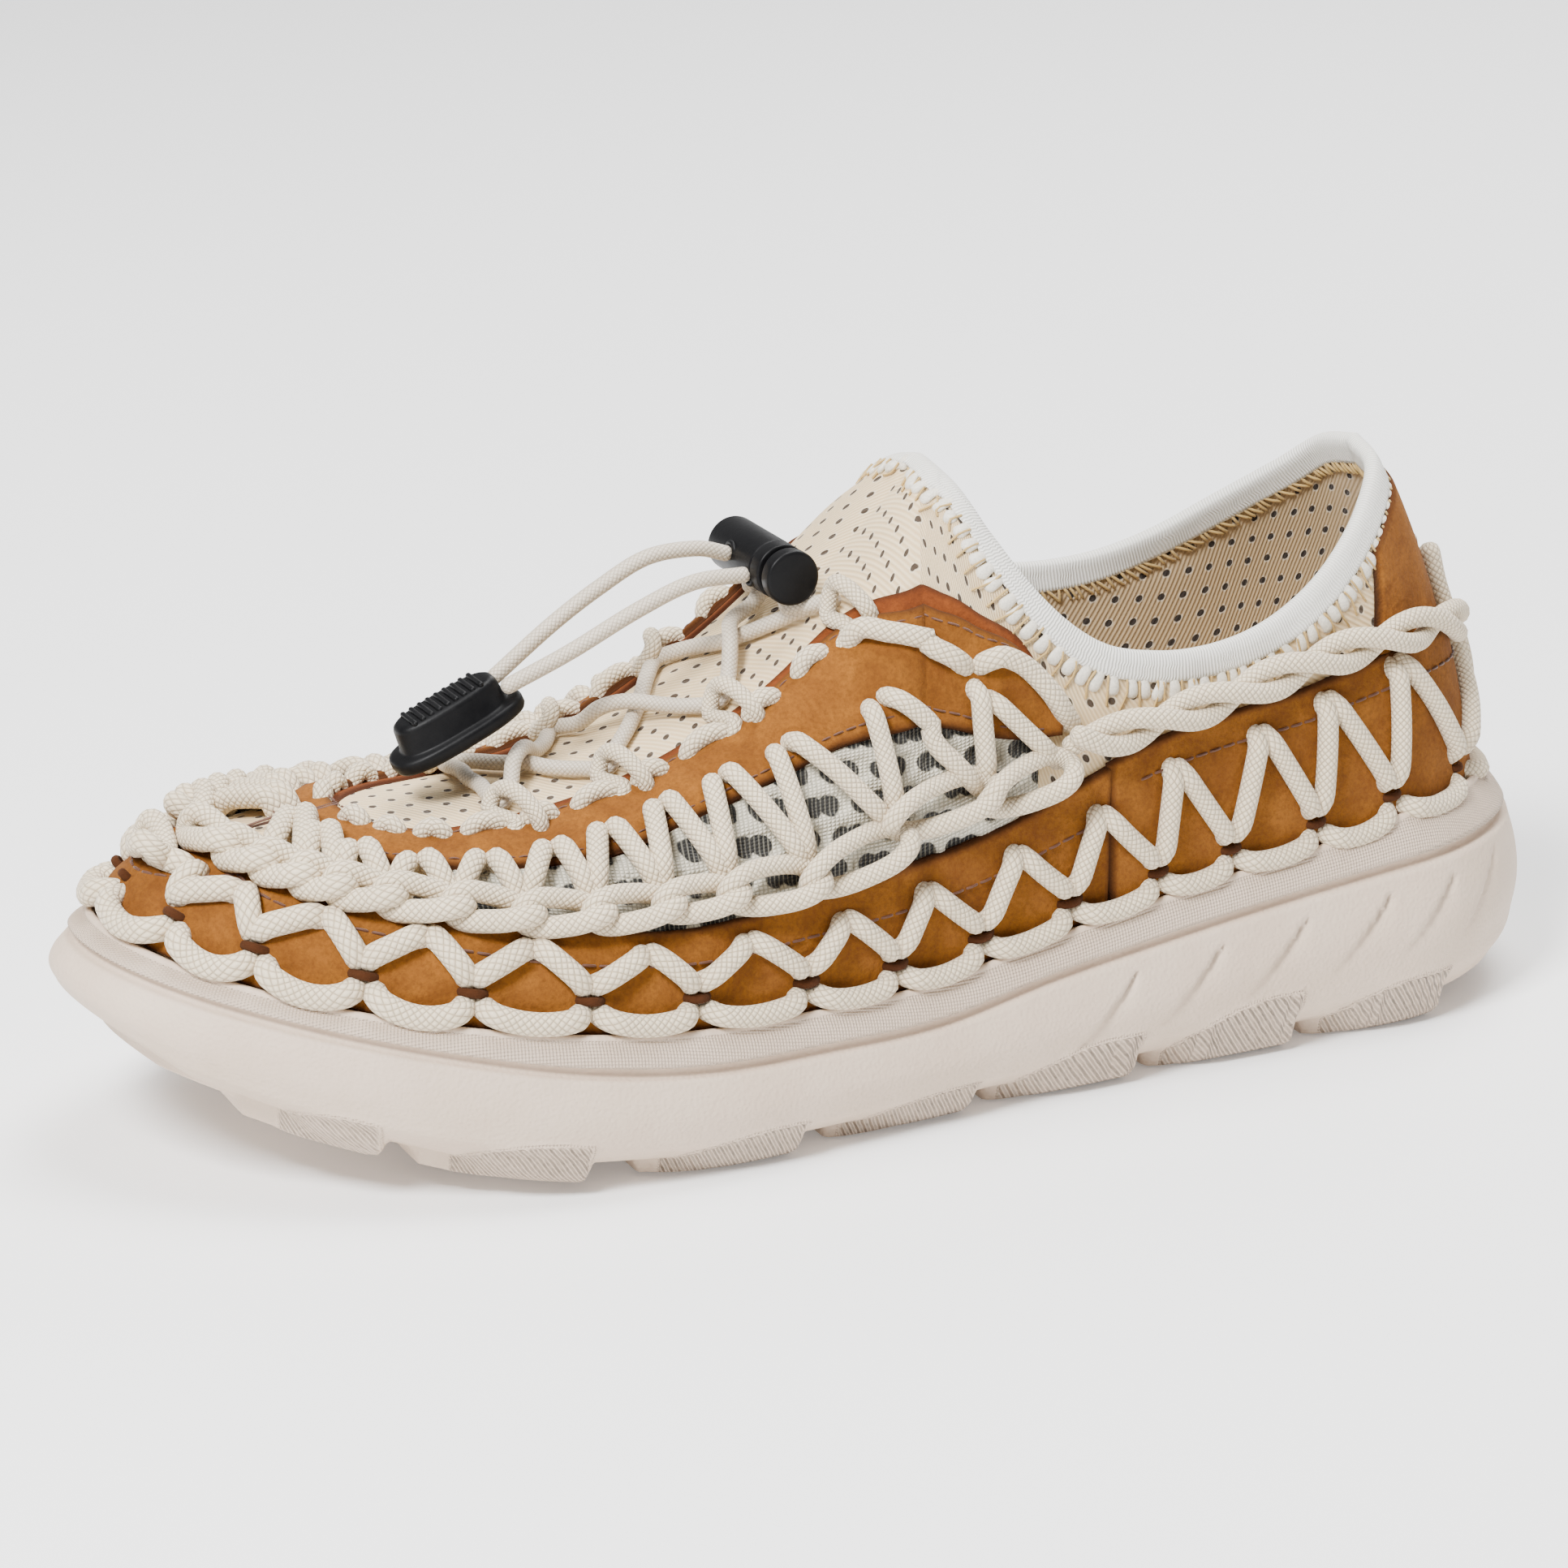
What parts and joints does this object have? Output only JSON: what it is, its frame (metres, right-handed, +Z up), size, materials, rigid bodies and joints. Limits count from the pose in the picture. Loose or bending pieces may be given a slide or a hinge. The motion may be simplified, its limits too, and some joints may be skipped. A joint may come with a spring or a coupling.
{
  "type": "woven cord slip-on shoe",
  "caption": "Closed slip-on shoe for the left foot: stretch bootie, suede overlays laced with thick cord, mesh windows, elastic cord lock and a thick foam sole.",
  "frame": {"origin": "on the floor, in the middle of the flat spot under the heel", "axes": "+Y towards the toe, +Z up, the lateral side of this left shoe at -X"},
  "size_m": [0.1095, 0.296, 0.1149],
  "materials": {
    "foam": "matt pebbled foam",
    "lining": "fine knit",
    "bootie": "stretch knit with small holes",
    "suede": "tan suede",
    "mesh": "open knitted mesh",
    "binding": "ribbed elastic tape",
    "cord": "round braid",
    "elastic": "fine round braid",
    "plastic": "moulded satin black"
  },
  "bodies": {
    "shoe": {"sole": "foam", "insole": "lining", "upper": "bootie", "foxing": "suede", "rear_quarter": "suede", "heel_tab": "suede", "eyestay": "suede", "window_lateral": "mesh", "window_medial": "mesh", "collar_binding": "binding", "foxing_zigzag": "cord", "foxing_scallops": "cord", "vamp_chain": "cord", "vamp_zigzag": "cord", "throat_cord": "cord", "collar_cord": "cord", "elastic_lacing": "elastic", "elastic_run_lateral": "elastic", "elastic_run_medial": "elastic", "lock_barrel": "plastic", "end_tab": "plastic"},
    "button": {"lock_button": "plastic"}
  },
  "joints": [
    {"name": "lock_press", "type": "slide", "parent": "shoe", "child": "button", "axis": [1, 0, 0], "range_m": [0, 0.0012], "stiffness_N_per_m": 1500}
  ]
}
